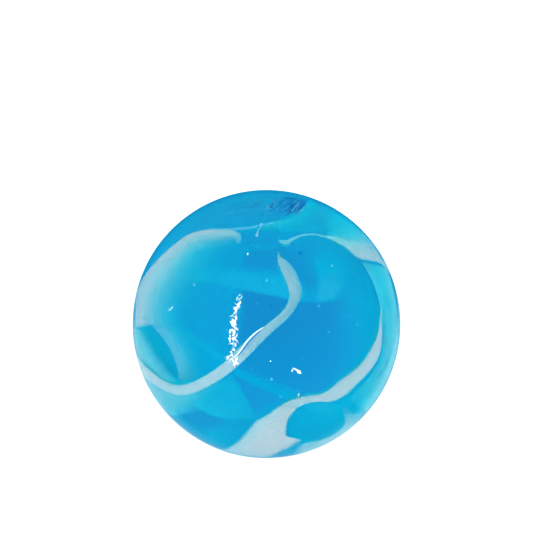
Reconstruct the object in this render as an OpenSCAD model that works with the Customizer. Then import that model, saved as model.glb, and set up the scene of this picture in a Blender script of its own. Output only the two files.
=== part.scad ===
// Glass marble: one solid ball of swirled glass, with the two marks that making it left.
// Millimetres. The origin is the centre of the ball and +Z is up.

/* [Ball] */
// Diameter of the ball
ball_d = 16; // [12:0.5:50]

/* [Cut-off scar] */
// Width of the shallow scar where the hot gob was sheared from the stream
scar_w = 1.8; // [1:0.1:4]
// Depth of the scar below its own rim
scar_depth = 0.04; // [0.02:0.01:0.1]
// Lean of the scar away from straight up, in degrees
scar_lean = 12; // [0:1:180]
// Turn of the scar round Z from +X, in degrees
scar_turn = 11; // [-180:1:180]

/* [Bubble pit] */
// Width of the open pit that a burst bubble left
pit_w = 0.4; // [0.1:0.05:1]
// Depth of the pit below its own rim
pit_depth = 0.1; // [0.02:0.01:0.3]
// Lean of the pit away from straight up, in degrees
pit_lean = 80; // [0:1:180]
// Turn of the pit round Z from +X, in degrees
pit_turn = -78; // [-180:1:180]

/* [Hidden] */
$fn = 96;
ball_r = ball_d / 2;

// Radius of the round cutter whose cap is this wide and this deep.
function cutter_r(width, depth) = (pow(width / 2, 2) + pow(depth, 2)) / (2 * depth);

// Distance from the ball's centre to the flat plane of a mark's round rim.
function rim_height(width) = sqrt(pow(ball_r, 2) - pow(width / 2, 2));

// A round cutter that leaves a dish of this width and depth in the ball's surface.
module dish_cutter(width, depth, lean, turn) {
    r = cutter_r(width, depth);
    rotate([0, lean, turn])
        translate([0, 0, rim_height(width) - depth + r])
            sphere(r = r);
}

// The ball, less its cut-off scar and its bubble pit.
module marble() {
    color("deepskyblue")
        difference() {
            sphere(r = ball_r);
            dish_cutter(scar_w, scar_depth, scar_lean, scar_turn);
            dish_cutter(pit_w, pit_depth, pit_lean, pit_turn);
        }
}

marble();
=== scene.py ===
"""Glass marble: a ball of clear aqua glass with a white swirl folded into it.

The ball, the ribbons, the veils and the seed bubbles are surfaces worked out with numpy on grids of
two parameters. In the tables, places across and up are shares of the ball's outline, leans and turns
are degrees, and the other lengths are millimetres. Meshes are made in metres.
"""

import logging
import math
from collections.abc import Sequence
from dataclasses import astuple, dataclass
from enum import Enum

import bpy
import numpy as np
from mathutils import Matrix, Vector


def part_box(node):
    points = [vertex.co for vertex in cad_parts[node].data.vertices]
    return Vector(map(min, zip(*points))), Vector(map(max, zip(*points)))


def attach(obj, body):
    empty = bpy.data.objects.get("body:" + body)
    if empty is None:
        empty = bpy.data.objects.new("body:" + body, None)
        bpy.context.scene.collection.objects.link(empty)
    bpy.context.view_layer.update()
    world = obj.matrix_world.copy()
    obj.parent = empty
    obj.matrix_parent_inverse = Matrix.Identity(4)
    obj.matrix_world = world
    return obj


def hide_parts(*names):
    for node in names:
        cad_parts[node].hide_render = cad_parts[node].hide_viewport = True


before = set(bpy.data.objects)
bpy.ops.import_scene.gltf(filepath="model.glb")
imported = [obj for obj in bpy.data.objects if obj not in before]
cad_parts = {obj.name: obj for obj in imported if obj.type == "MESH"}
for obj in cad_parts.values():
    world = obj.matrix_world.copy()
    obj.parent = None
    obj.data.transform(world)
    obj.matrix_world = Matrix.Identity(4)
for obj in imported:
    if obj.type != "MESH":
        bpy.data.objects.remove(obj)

Colour = tuple[float, float, float]
Place = tuple[float, float, float]
Spot = tuple[float, float]
Span = tuple[float, float]
Run = float | Sequence[float]
Marks = dict[str, np.ndarray]
Piece = bpy.types.Object
Socket = bpy.types.NodeSocket

LOG = logging.getLogger("marble")
MM = 0.001
TINY = 1e-12
GLASS_IOR = 1.5
FRONT_RISE = 30.0
CAMERA_DISTANCE = 88.8
WHITE_LIGHT = (1.0, 1.0, 1.0)
CLOUD_MIDDLE = 0.5
UNSCATTERED = 0.5
POLES = np.array([[0.0, 0.0, 1.0], [0.0, 0.0, -1.0]])
DIFFUSE_BOUNCES = 10
TRANSMISSION_BOUNCES = 20
MOST_BOUNCES = 24
VEIL_BOUNCES = 64


class Slot(Enum):
    """Names of two material slots, blue glass and white glass; no piece here takes its finish from them."""

    BLUE = "blue_glass"
    WHITE = "white_glass"


class Side(Enum):
    """The two faces of the ball that the swirl is laid out on, by the eye's turn and rise."""

    FRONT = (0.0, FRONT_RISE)
    BACK = (180.0, -FRONT_RISE)


def unit(vectors: np.ndarray) -> np.ndarray:
    """Returns the vectors on the last axis, each made one long."""
    return vectors / np.maximum(np.linalg.norm(vectors, axis=-1, keepdims=True), TINY)


def heading(lean: np.ndarray, turn: np.ndarray) -> np.ndarray:
    """Returns the unit directions that lean from +Z and turn round it from +X, in radians."""
    flat = np.sin(lean)
    return np.stack([flat * np.cos(turn), flat * np.sin(turn), np.cos(lean)], axis=-1)


def eased(share: np.ndarray) -> np.ndarray:
    """Returns a smooth step of the share, held between 0 and 1."""
    t = np.clip(share, 0.0, 1.0)
    return t**2 * (3.0 - 2.0 * t)


def spread(span: Span, share: np.ndarray) -> np.ndarray:
    """Returns the values that lie that share of the way from the span's start to its end."""
    return span[0] + (span[1] - span[0]) * share


def beside(gap: np.ndarray, run: np.ndarray) -> tuple[np.ndarray, np.ndarray]:
    """Finds the nearest place on a straight run.

    Args:
        gap: Points, measured from where the run starts.
        run: The run, from its start to its end.

    Returns:
        How far along the run the nearest place is, from 0 to 1, and how far off it is.
    """
    along = np.clip(np.sum(gap * run, axis=-1) / np.sum(run**2, axis=-1), 0.0, 1.0)
    return along, np.linalg.norm(gap - along[..., None] * run, axis=-1)


def milestones(points: np.ndarray) -> np.ndarray:
    """Returns how far along the chain of points each one lies."""
    steps = np.linalg.norm(np.diff(points, axis=0), axis=1)
    return np.concatenate([[0.0], np.cumsum(steps)])


def through(knots: np.ndarray, stations: np.ndarray, at: np.ndarray) -> np.ndarray:
    """Runs one smooth curve through the knots.

    Each piece is a cubic whose end slopes are the mean of the two chords there, the nearer chord
    counting for more.

    Args:
        knots: Values at the knots, along the first axis.
        stations: The parameter at each knot, rising.
        at: Parameters to read the curve at.

    Returns:
        The curve's values, with at's length as the first axis.
    """
    tail = (1,) * (knots.ndim - 1)
    gaps = np.diff(stations)
    chords = np.diff(knots, axis=0) / gaps.reshape(-1, *tail)
    before = gaps[:-1].reshape(-1, *tail)
    after = gaps[1:].reshape(-1, *tail)
    middle = (chords[:-1] * after + chords[1:] * before) / (before + after)
    slopes = np.concatenate([chords[:1], middle, chords[-1:]])
    i = np.clip(np.searchsorted(stations, at, side="right") - 1, 0, len(gaps) - 1)
    f = ((at - stations[i]) / gaps[i]).reshape(-1, *tail)
    h = gaps[i].reshape(-1, *tail)
    return (
        (2 * f**3 - 3 * f**2 + 1) * knots[i]
        + (f**3 - 2 * f**2 + f) * h * slopes[i]
        + (3 * f**2 - 2 * f**3) * knots[i + 1]
        + (f**3 - f**2) * h * slopes[i + 1]
    )


@dataclass(frozen=True)
class Sight:
    """Places points inside the ball by where they show from one side.

    A point is named by how far across and up it shows on the ball's round outline, as shares of the
    outline's radius, and by how deep it lies along the bent line of sight.
    """

    side: Side
    radius: float
    distance: float = CAMERA_DISTANCE
    ior: float = GLASS_IOR

    def axes(self) -> np.ndarray:
        """Returns the right, up and toward-the-eye directions as the rows of a matrix."""
        turn, rise = np.radians(self.side.value)
        toward = np.array([np.sin(turn) * np.cos(rise), -np.cos(turn) * np.cos(rise), np.sin(rise)])
        right = np.array([np.cos(turn), np.sin(turn), 0.0])
        return np.stack([right, np.cross(toward, right), toward])

    def place(self, across: np.ndarray, up: np.ndarray, depth: np.ndarray) -> np.ndarray:
        """Follows the line of sight to the glass, bends it by Snell's law and goes on to the depth.

        Args:
            across: Share of the outline's radius to the right.
            up: Share of the outline's radius upwards.
            depth: Millimetres inside the glass along the bent line.

        Returns:
            The points in the ball's own frame, in millimetres, with a last axis of three.
        """
        scale = self.radius / math.sqrt(self.distance**2 - self.radius**2)
        line = unit(np.stack([across * scale, up * scale, -np.ones_like(across)], axis=-1))
        nearest = self.distance * -line[..., 2]
        miss = self.distance**2 - nearest**2
        reach = nearest - np.sqrt(np.clip(self.radius**2 - miss, 0.0, None))
        entry = np.array([0.0, 0.0, self.distance]) + line * reach[..., None]
        normal = entry / self.radius
        facing = -np.sum(line * normal, axis=-1, keepdims=True)
        bend = 1.0 / self.ior
        straight = np.sqrt(1.0 - bend**2 * (1.0 - facing**2))
        inside = bend * line + (bend * facing - straight) * normal
        return (entry + inside * depth[..., None]) @ self.axes()


@dataclass
class Graph:
    """Adds and joins the nodes of one shader tree."""

    tree: bpy.types.NodeTree

    def fill(self, target: Socket, value: object) -> None:
        """Links a socket to an input, or sets the input to a value, a colour as three numbers."""
        if isinstance(value, Socket):
            self.tree.links.new(value, target)
        elif target.type == "RGBA":
            target.default_value = (*value, 1.0)
        else:
            target.default_value = value

    def add(self, kind: str, **inputs: object) -> bpy.types.Node:
        """Adds a node and fills its inputs by name.

        Args:
            kind: The node's type name, without its first word.
            **inputs: Input names, underscores for spaces, with a value or a socket to link.

        Returns:
            The new node.
        """
        node = self.tree.nodes.new("ShaderNode" + kind)
        for key, value in inputs.items():
            self.fill(node.inputs[key.replace("_", " ")], value)
        return node

    def math(self, operation: str, *values: object) -> Socket:
        """Returns the result of a Math node with the given operation and inputs."""
        node = self.add("Math")
        node.operation = operation
        for target, value in zip(node.inputs, values):
            self.fill(target, value)
        return node.outputs[0]

    def mark(self, name: str) -> Socket:
        """Returns one of the numbers that the piece's own points carry."""
        node = self.add("Attribute")
        node.attribute_name = name
        return node.outputs["Fac"]

    def noise(self, place: Socket, scale: float, detail: float, roughness: float = 0.5) -> Socket:
        """Returns a noise pattern's height at the place, from 0 to 1."""
        node = self.add("TexNoise", Vector=place, Scale=scale, Detail=detail, Roughness=roughness)
        return node.outputs["Fac"]

    def ramp(self, value: Socket, start: float, end: float, bend: str = "SMOOTHSTEP") -> Socket:
        """Returns a share that is 0 where the value is at start and 1 where it is at end."""
        node = self.add("MapRange", Value=value, From_Min=start, From_Max=end)
        node.interpolation_type = bend
        return node.outputs["Result"]

    def mix_colour(self, share: Socket, low: Colour | Socket, high: Colour | Socket) -> Socket:
        """Returns a colour that goes from the low one to the high one by share."""
        node = self.add("Mix")
        node.data_type = "RGBA"
        self.fill(node.inputs["Factor"], share)
        for key, value in (("A", low), ("B", high)):
            self.fill(next(s for s in node.inputs if s.name == key and s.type == "RGBA"), value)
        return next(s for s in node.outputs if s.type == "RGBA")

    def blend(self, share: object, low: bpy.types.Node, high: bpy.types.Node) -> bpy.types.Node:
        """Adds a shader that goes from the low one to the high one by share."""
        node = self.add("MixShader", Fac=share)
        self.fill(node.inputs[1], low.outputs[0])
        self.fill(node.inputs[2], high.outputs[0])
        return node


def empty_graph(owner: bpy.types.Material | bpy.types.World) -> Graph:
    """Empties the owner's node tree and returns the helper for it."""
    owner.use_nodes = True
    owner.node_tree.nodes.clear()
    return Graph(owner.node_tree)


@dataclass(frozen=True)
class BlueGlass:
    """Clear aqua glass with a fire-polished skin, finely rippled and a little scuffed."""

    name: str = "aqua_glass"
    soak_colour: Colour = (0.18, 0.798, 0.924)
    soak_density: float = 400.0
    ripple_scale: float = 5200.0
    ripple_detail: float = 3.0
    ripple_height: float = 0.0000012
    scuff_scale: float = 900.0
    scuff_detail: float = 6.0
    scuff_rarity: float = 6.0
    scuff_roughness: float = 0.3
    crinkle_scale: float = 3800.0
    crinkle_detail: float = 2.0
    crinkle_height: float = 5.0

    def material(self) -> bpy.types.Material:
        """Returns the ball's material."""
        material = bpy.data.materials.new(self.name)
        g = empty_graph(material)
        place = g.add("TexCoord").outputs["Object"]
        scuff = g.noise(place, self.scuff_scale, self.scuff_detail)
        matt = g.math("MULTIPLY", g.math("POWER", scuff, self.scuff_rarity), self.scuff_roughness)
        ripple = g.noise(place, self.ripple_scale, self.ripple_detail)
        crinkle = g.noise(place, self.crinkle_scale, self.crinkle_detail)
        folds = g.math("MULTIPLY", crinkle, g.mark("crinkle"))
        height = g.math("ADD", ripple, g.math("MULTIPLY", folds, self.crinkle_height))
        bump = g.add("Bump", Height=height, Strength=1.0, Distance=self.ripple_height)
        shader = g.add(
            "BsdfPrincipled",
            Base_Color=WHITE_LIGHT,
            Roughness=matt,
            IOR=GLASS_IOR,
            Transmission_Weight=1.0,
            Normal=bump.outputs["Normal"],
        )
        soak = g.add("VolumeAbsorption", Color=self.soak_colour, Density=self.soak_density)
        g.add("OutputMaterial", Surface=shader.outputs[0], Volume=soak.outputs[0])
        return material


@dataclass(frozen=True)
class WhiteGlass:
    """Opaque white glass that thins to aqua where it is drawn out.

    The mark milk is 1 in dense white and 0 where the white has mixed with the blue. The mark
    cover is how solid a veil is, and is read only where veiled is true. The painted glow is an
    emission that paints extra light into the white, standing in for light that reaches it in shade.
    """

    name: str = "white_glass"
    veiled: bool = True
    dense_colour: Colour = (0.73, 0.72, 0.72)
    thin_colour: Colour = (0.01, 0.90, 0.86)
    # painted glow: emission that lightens the white glass as if more light fell on it
    painted_glow: float = 0.0
    painted_glow_colour: Colour = (0.0, 0.8, 1.0)
    glow: float = 0.4
    roughness: float = 0.6
    streak: float = 0.25
    streak_stretch: float = 0.25
    streak_scale: float = 3.0
    streak_detail: float = 5.0
    streak_roughness: float = 0.6
    unevenness: float = 0.5

    def material(self) -> bpy.types.Material:
        """Returns the white glass's material."""
        material = bpy.data.materials.new(self.name)
        g = empty_graph(material)
        along = g.math("MULTIPLY", g.mark("along"), self.streak_stretch)
        lie = g.add("CombineXYZ", X=along, Y=g.mark("across")).outputs[0]
        cloud = g.noise(lie, self.streak_scale, self.streak_detail, self.streak_roughness)
        drift = g.math("MULTIPLY", g.math("SUBTRACT", cloud, CLOUD_MIDDLE), self.streak)
        milk = g.math("ADD", g.mark("milk"), drift)
        colour = g.mix_colour(milk, self.thin_colour, self.dense_colour)
        solid = g.add(
            "BsdfPrincipled",
            Base_Color=colour,
            Roughness=self.roughness,
            Specular_IOR_Level=0.0,
            Emission_Color=self.painted_glow_colour,
            Emission_Strength=self.painted_glow,
        )
        shown = g.blend(self.glow, solid, g.add("BsdfTranslucent", Color=colour))
        if self.veiled:
            thickness = g.math("MULTIPLY", cloud, self.unevenness)
            even = g.math("ADD", 1.0 - self.unevenness * CLOUD_MIDDLE, thickness)
            cover = g.math("MULTIPLY", g.mark("cover"), even)
            shown = g.blend(cover, g.add("BsdfTransparent"), shown)
        g.add("OutputMaterial", Surface=shown.outputs[0])
        return material


Finish = BlueGlass | WhiteGlass
# These white finishes differ only in their painted glow, which lightens white lying in shade; the crossing
# ribbon's glows most.
SOLID = WhiteGlass(painted_glow=0.03)
BRIGHT = WhiteGlass("bright_white", painted_glow=0.08)
SHEER = WhiteGlass("veil_glass", painted_glow=0.06)
FROST = WhiteGlass("frost_glass", thin_colour=(0.05, 0.72, 0.95))
# The bubbles carry a pale blue painted glow, so that deep ones stay as light as the glass round them.
GAS = WhiteGlass("bubble_glass", veiled=False, dense_colour=(0.35, 0.70, 0.82), painted_glow=0.25)
# Bright white with a strong white painted glow: paints the strip lamp's highlight streak, its edge line and
# the glint in the pit, and whitens the real nicks.
SPARK = WhiteGlass(
    "flaws_and_painted_highlight", veiled=False, dense_colour=(0.9, 0.9, 0.88), painted_glow=0.6, painted_glow_colour=WHITE_LIGHT
)
# Dark blue with a blue painted glow: paints shade at the scar, under the edge highlight and in gaps of the
# highlight streak, and colours real dark marks and grooves.
INK = WhiteGlass(
    "dark_marks_and_painted_shade", thin_colour=(0.01, 0.20, 0.50), painted_glow=0.30, painted_glow_colour=(0.0, 0.40, 1.0), streak=0.1
)


def signed_volume(points: np.ndarray, quads: np.ndarray) -> float:
    """Returns a closed mesh's volume, below zero where its faces point inwards."""
    a, b, c, d = (points[quads[:, k]] for k in range(4))
    return float(np.sum(a * np.cross(b, c)) + np.sum(a * np.cross(c, d))) / 6.0


def make_mesh(name: str, points: np.ndarray, quads: np.ndarray, marks: Marks, finish: Finish) -> Piece:
    """Puts points and quads into a new smooth piece at the origin.

    Args:
        name: The piece's name.
        points: Corner points in millimetres, on the last axis.
        quads: Four point numbers a face; a triangle repeats its last.
        marks: Numbers for each point that materials read by name.
        finish: What the piece is made of.

    Returns:
        The new object, linked to the scene.
    """
    points = points.reshape(-1, 3)
    if signed_volume(points, quads) < 0:
        quads = quads[:, ::-1]
    mesh = bpy.data.meshes.new(name)
    faces = [tuple(dict.fromkeys(quad)) for quad in quads.tolist()]
    mesh.from_pydata((points * MM).tolist(), [], faces)
    for key, values in marks.items():
        layer = mesh.attributes.new(key, "FLOAT", "POINT")
        layer.data.foreach_set("value", np.ascontiguousarray(values, np.float32).ravel())
    mesh.polygons.foreach_set("use_smooth", np.ones(len(mesh.polygons), bool))
    mesh.materials.append(finish.material())
    mesh.update()
    piece = bpy.data.objects.new(name, mesh)
    bpy.context.scene.collection.objects.link(piece)
    return piece


def make_shell(
    name: str, sheets: Sequence[np.ndarray], marks: Marks, finish: Finish, inner_milk: float = 1.0
) -> Piece:
    """Joins two like grids of points, the second lying behind the first, into one closed piece.

    Its faces are the first grid, the second turned round, and the strip that joins their edges.

    Args:
        name: The piece's name.
        sheets: The two grids of points, in millimetres.
        marks: Numbers for each point of a grid, the same for both.
        finish: What the piece is made of.
        inner_milk: The share of its milk that the second grid keeps.

    Returns:
        The piece.
    """
    rows, cols = sheets[0].shape[:2]
    count = rows * cols
    n = np.arange(count).reshape(rows, cols)
    front = np.stack([n[:-1, :-1], n[1:, :-1], n[1:, 1:], n[:-1, 1:]], axis=-1).reshape(-1, 4)
    loop = np.concatenate([n[0, :-1], n[:-1, -1], n[-1, :0:-1], n[:0:-1, 0]])
    onward = np.roll(loop, -1)
    rim = np.stack([loop, onward, onward + count, loop + count], axis=-1)
    quads = np.concatenate([front, front[:, ::-1] + count, rim])
    marks = {key: np.tile(values.ravel(), 2) for key, values in marks.items()}
    marks["milk"][count:] *= inner_milk
    return make_mesh(name, np.stack(sheets), quads, marks, finish)


def globe_quads(rows: int, cols: int) -> np.ndarray:
    """Lists the faces of a globe whose two poles come after its rings.

    Args:
        rows: Rings between the poles.
        cols: Points round each ring.

    Returns:
        Bands of quads from ring to ring, and a fan of triangles at each pole.
    """
    n = np.arange(rows * cols).reshape(rows, cols)
    m = np.roll(n, -1, axis=1)
    top = np.full(cols, rows * cols)
    foot = top + 1
    bands = np.stack([n[:-1], n[1:], m[1:], m[:-1]], axis=-1).reshape(-1, 4)
    cap = np.stack([n[0], m[0], top, top], axis=-1)
    base = np.stack([m[-1], n[-1], foot, foot], axis=-1)
    return np.concatenate([bands, cap, base])


def repeated(faces: np.ndarray, corners: int, copies: int) -> np.ndarray:
    """Returns the faces once for each copy of a shape with that many corners."""
    return (faces + corners * np.arange(copies)[:, None, None]).reshape(-1, 4)


@dataclass(frozen=True)
class Dish:
    """A shallow round mark in the skin: where its middle is, and its size."""

    lean: float
    turn: float
    width: float
    depth: float


@dataclass(frozen=True)
class Crinkle:
    """A crinkled stretch of the front's skin, in shares of the outline, and its strength."""

    start: Spot
    end: Spot
    half: float
    strength: float


@dataclass
class GlassBall:
    """The ball's outer skin, with the scar and the pit that its making left.

    The grid is finer near the crowded leans and turns, within the crowd's reach in radians.
    """

    radius: float
    scar: Dish = Dish(lean=12.0, turn=11.0, width=1.8, depth=0.04)
    pit: Dish = Dish(lean=80.0, turn=-78.0, width=0.4, depth=0.1)
    crinkles: tuple[Crinkle, ...] = (
        Crinkle((-0.19, 0.22), (-0.30, -0.30), half=0.06, strength=1.0),
        Crinkle((0.90, 0.0), (0.87, -0.45), half=0.08, strength=0.10),
        Crinkle((-0.20, 0.88), (0.25, 0.90), half=0.07, strength=0.3),
    )
    rings: int = 300
    spokes: int = 320
    crowded_leans: tuple[float, ...] = (13.0, 80.0)
    crowded_turns: tuple[float, ...] = (282.0,)
    crowd_reach: float = 0.06
    crowd_gain: float = 2.0
    fine_steps: int = 4000

    def build(self, finish: BlueGlass) -> Piece:
        """Makes the ball as rings round the vertical, drawn in by the depth of each mark.

        Args:
            finish: The glass's finish.

        Returns:
            The ball.
        """
        lean = self.crowd(np.linspace(0.0, np.pi, self.rings + 1), self.crowded_leans)
        turn = self.crowd(np.linspace(0.0, 2.0 * np.pi, self.spokes + 1), self.crowded_turns)
        lean, turn = np.meshgrid(lean[1:-1], turn[:-1], indexing="ij")
        way = heading(lean, turn)
        sunk, crinkle = self.relief(way)
        skin = (way * (self.radius - sunk)[..., None]).reshape(-1, 3)
        points = np.concatenate([skin, self.radius * POLES])
        marks = {"crinkle": np.append(crinkle, np.zeros(len(POLES)))}
        return make_mesh("glass_ball", points, globe_quads(*lean.shape), marks, finish)

    def crowd(self, even: np.ndarray, spots: Sequence[float]) -> np.ndarray:
        """Slides evenly spaced angles so that they crowd near the spots, keeping both ends."""
        fine = np.linspace(even[0], even[-1], self.fine_steps)
        bunch = sum(np.exp(-(((fine - spot) / self.crowd_reach) ** 2)) for spot in np.radians(spots))
        total = np.cumsum(1.0 + self.crowd_gain * bunch)
        total = (total - total[0]) / (total[-1] - total[0])
        share = (even - even[0]) / (even[-1] - even[0])
        return np.interp(share, total, fine)

    def relief(self, way: np.ndarray) -> tuple[np.ndarray, np.ndarray]:
        """Works out how far the skin is drawn in, and how crinkled it is.

        A dish's depth falls with the square of the distance from its middle, and a crinkle's
        strength as a bell curve of the distance from its middle line.

        Args:
            way: Unit directions from the ball's centre.

        Returns:
            Millimetres drawn in, and the crinkle from 0 to 1.
        """
        sunk = np.zeros(way.shape[:-1])
        for dish in (self.scar, self.pit):
            middle = heading(np.radians(dish.lean), np.radians(dish.turn))
            away = np.linalg.norm(way - middle, axis=-1) * self.radius
            sunk += dish.depth * np.clip(1.0 - (away / (dish.width / 2.0)) ** 2, 0.0, None)
        face = way @ Sight(Side.FRONT, self.radius).axes().T
        crinkled = np.zeros_like(sunk)
        for crinkle in self.crinkles:
            start, end = np.array(crinkle.start), np.array(crinkle.end)
            away = beside(face[..., :2] - start, end - start)[1]
            crinkled += crinkle.strength * np.exp(-((away / crinkle.half) ** 2)) * (face[..., 2] > 0)
        return sunk, crinkled


@dataclass(frozen=True)
class Knot:
    """One point that a ribbon passes through, with the ribbon's width and tilt there."""

    across: float
    up: float
    depth: float
    width: float
    tilt: float = 0.0


@dataclass
class Ribbon:
    """A closed white ribbon: a lens carried along a path, with a keel that dives into the ball.

    The path runs through the knots laid out on the front, and then those on the back.
    """

    name: str
    front: Sequence[Knot]
    back: Sequence[Knot] = ()
    thick: float = 0.22
    keel: float = 1.2
    milk: float = 1.0
    cover: float = 1.0
    steps: int = 220
    strips: int = 22
    lip: float = 0.04
    least_width: float = 0.03
    full_width: float = 0.5
    least_share: float = 0.1
    edge: float = 0.3
    edge_milk: float = 0.5
    edge_cover: float = 0.25
    keel_milk: float = 0.1

    def build(self, radius: float, finish: WhiteGlass) -> Piece:
        """Carries the lens along the path and closes it.

        The outer face is an arc of the lens's thickness over the width. The inner face is a deeper
        arc of the keel's depth, so that the ribbon is the edge of a fin.

        Args:
            radius: The ball's radius in millimetres.
            finish: The white glass's finish.

        Returns:
            The ribbon.
        """
        across, up, depth, *sizes = np.array([astuple(k) for k in (*self.front, *self.back)]).T
        seen = [Sight(side, radius).place(across, up, depth) for side in Side]
        knots = np.where(np.arange(len(up))[:, None] < len(self.front), *seen)
        sizes = np.stack([*sizes, np.linalg.norm(knots, axis=1)], axis=1)
        stations = milestones(knots)
        at = np.linspace(0.0, stations[-1], self.steps)
        width, tilt, reach = through(sizes, stations, at).T
        path = unit(through(knots, stations, at)) * reach[:, None]
        inward = -unit(path)
        sideways = unit(np.cross(unit(np.gradient(path, axis=0)), inward))
        t = -np.cos(np.linspace(0.0, np.pi, self.strips))
        lens = np.sqrt(np.clip(1.0 - t**2, 0.0, None)) + self.lip
        half = np.clip(width, self.least_width, None)[:, None] / 2.0
        slim = np.clip(width / self.full_width, self.least_share, 1.0)[:, None]
        middle = path[:, None] + sideways[:, None] * (half * t)[..., None]
        middle = middle + inward[:, None] * (tilt[:, None] * t / 2.0)[..., None]
        rise = (slim * lens * self.thick / 2.0)[..., None]
        fall = (slim * lens**2 * self.keel)[..., None]
        sheets = (middle - inward[:, None] * rise, middle + inward[:, None] * (rise + fall))
        body = np.broadcast_to(eased((1.0 - np.abs(t)) / self.edge), middle.shape[:2])
        marks = {
            "along": np.broadcast_to(at[:, None], body.shape),
            "across": half * t,
            "milk": self.milk * spread((self.edge_milk, 1.0), body),
            "cover": self.cover * spread((self.edge_cover, 1.0), body),
        }
        return make_shell(self.name, sheets, marks, finish, self.keel_milk)


@dataclass(frozen=True)
class Line:
    """One line of a veil: where it shows, and its depth, density and milk.

    Each of the last three is one number, or several spread evenly along the line.
    """

    places: Sequence[Spot]
    depth: Run
    density: Run = 1.0
    milk: Run = 0.0

    def run(self, count: int) -> np.ndarray:
        """Returns count rows of across, up, depth, density and milk, evenly along the line."""
        places = np.array(self.places)
        stations = milestones(places)
        share = np.linspace(0.0, 1.0, count)
        columns = [through(places, stations, share * stations[-1])]
        for values in map(np.atleast_1d, (self.depth, self.density, self.milk)):
            columns.append(np.interp(share, np.linspace(0.0, 1.0, len(values)), values)[:, None])
        return np.concatenate(columns, axis=1)


@dataclass
class Veil:
    """A thin closed sheet of white glass that runs smoothly from line to line."""

    name: str
    lines: Sequence[Line]
    side: Side = Side.FRONT
    hem: Span = (0.07, 0.03)
    thick: float = 0.05
    rim_share: float = 0.1
    rows: int = 60
    cols: int = 100

    def build(self, radius: float, finish: WhiteGlass) -> Piece:
        """Lays the sheet where it shows, and gives it its thickness.

        The thickness swells as a half circle from the sheet's rim to its middle, and the cover
        falls to 0 over the hem at all four sides.

        Args:
            radius: The ball's radius in millimetres.
            finish: The veil's finish.

        Returns:
            The veil.
        """
        net = np.stack([line.run(self.cols) for line in self.lines])
        stations = np.arange(len(net), dtype=float)
        net = through(net, stations, np.linspace(0.0, stations[-1], self.rows))
        across, up, depth, density, milk = np.moveaxis(net, -1, 0)
        sides = [np.linspace(-1.0, 1.0, count) for count in (self.rows, self.cols)]
        swell = np.outer(*(np.sqrt(1.0 - t**2) for t in sides))
        fade = np.outer(*(eased((1.0 - np.abs(t)) / (2.0 * hem)) for t, hem in zip(sides, self.hem)))
        wall = self.thick * spread((self.rim_share, 1.0), swell)
        sight = Sight(self.side, radius)
        sheets = (sight.place(across, up, depth), sight.place(across, up, depth + wall))
        cover = np.clip(density, 0.0, 1.0) * fade
        marks = {"along": across * radius, "across": up * radius, "milk": milk, "cover": cover}
        return make_shell(self.name, sheets, marks, finish)


@dataclass(frozen=True)
class Patch:
    """A soft-edged area of the broad veil: its outline, how soft its edge is, and how solid it is."""

    outline: Sequence[Spot]
    soft: Run
    cover: float
    milk: float = 0.0
    nearest: float = 0.003
    fall: float = 3.0

    def share(self, spots: np.ndarray) -> np.ndarray:
        """Works out how far each spot belongs to the patch.

        The outline is a closed polygon. The share is a smooth step of the distance to its nearest
        edge, counted positive inside, over the softness there: the edges' own softness averaged,
        each weighed by one over its distance to the power of the fall.

        Args:
            spots: Places across and up, on the last axis.

        Returns:
            Shares from 0 well outside to 1 well inside.
        """
        start = np.array(self.outline)
        edge = np.roll(start, -1, axis=0) - start
        soft = np.resize(np.array(self.soft), len(start))
        gap = spots[..., None, :] - start
        along, away = beside(gap, edge)
        pull = (away + self.nearest) ** -self.fall
        local = soft + along * (np.roll(soft, -1) - soft)
        blur = np.sum(pull * local, axis=-1) / np.sum(pull, axis=-1)
        above = gap[..., 1] >= 0
        crosses = above != np.roll(above, -1, axis=-1)
        rise = np.where(np.abs(edge[:, 1]) < TINY, TINY, edge[:, 1])
        ahead = gap[..., 0] < edge[:, 0] * gap[..., 1] / rise
        inside = np.sum(crosses & ahead, axis=-1) % 2 == 1
        signed = np.where(inside, 1.0, -1.0) * away.min(axis=-1)
        return eased(signed / blur + 0.5)


@dataclass
class BroadVeil:
    """The wide thin veil that hangs deep in the ball, solid in some places and torn in others."""

    name: str
    patches: Sequence[Patch]
    side: Side = Side.FRONT
    cover: float = 0.30
    depth: float = 4.8
    rise: float = 2.0
    thick: float = 0.04
    reach: float = 0.975
    count: int = 190

    def build(self, radius: float, finish: WhiteGlass) -> Piece:
        """Lays a round sheet across the ball and lays the patches on it, one over the other.

        A square grid is squeezed into a disc: each coordinate is shortened by the root of one less
        half the other's square.

        Args:
            radius: The ball's radius in millimetres.
            finish: The veil's finish.

        Returns:
            The veil.
        """
        t = np.linspace(-1.0, 1.0, self.count)
        x, y = np.meshgrid(t, t, indexing="ij")
        across = self.reach * x * np.sqrt(1.0 - y**2 / 2.0)
        up = self.reach * y * np.sqrt(1.0 - x**2 / 2.0)
        cover = np.full(x.shape, self.cover)
        milk = np.zeros(x.shape)
        for patch in self.patches:
            share = patch.share(np.stack([across, up], axis=-1))
            cover += share * (patch.cover - cover)
            milk += share * (patch.milk - milk)
        depth = self.depth - self.rise * (across**2 + up**2)
        sight = Sight(self.side, radius)
        sheets = [sight.place(across, up, depth + wall) for wall in (0.0, self.thick)]
        marks = {"along": across * radius, "across": up * radius, "milk": milk, "cover": cover}
        return make_shell(self.name, sheets, marks, finish)


@dataclass(frozen=True)
class Stroke:
    """A fine stroke, used for nicks and for dashes of painted highlight and shade: where its middle shows,
    the way it runs in degrees, and its size.
    """

    across: float
    up: float
    lean: float
    length: float
    width: float


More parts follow.
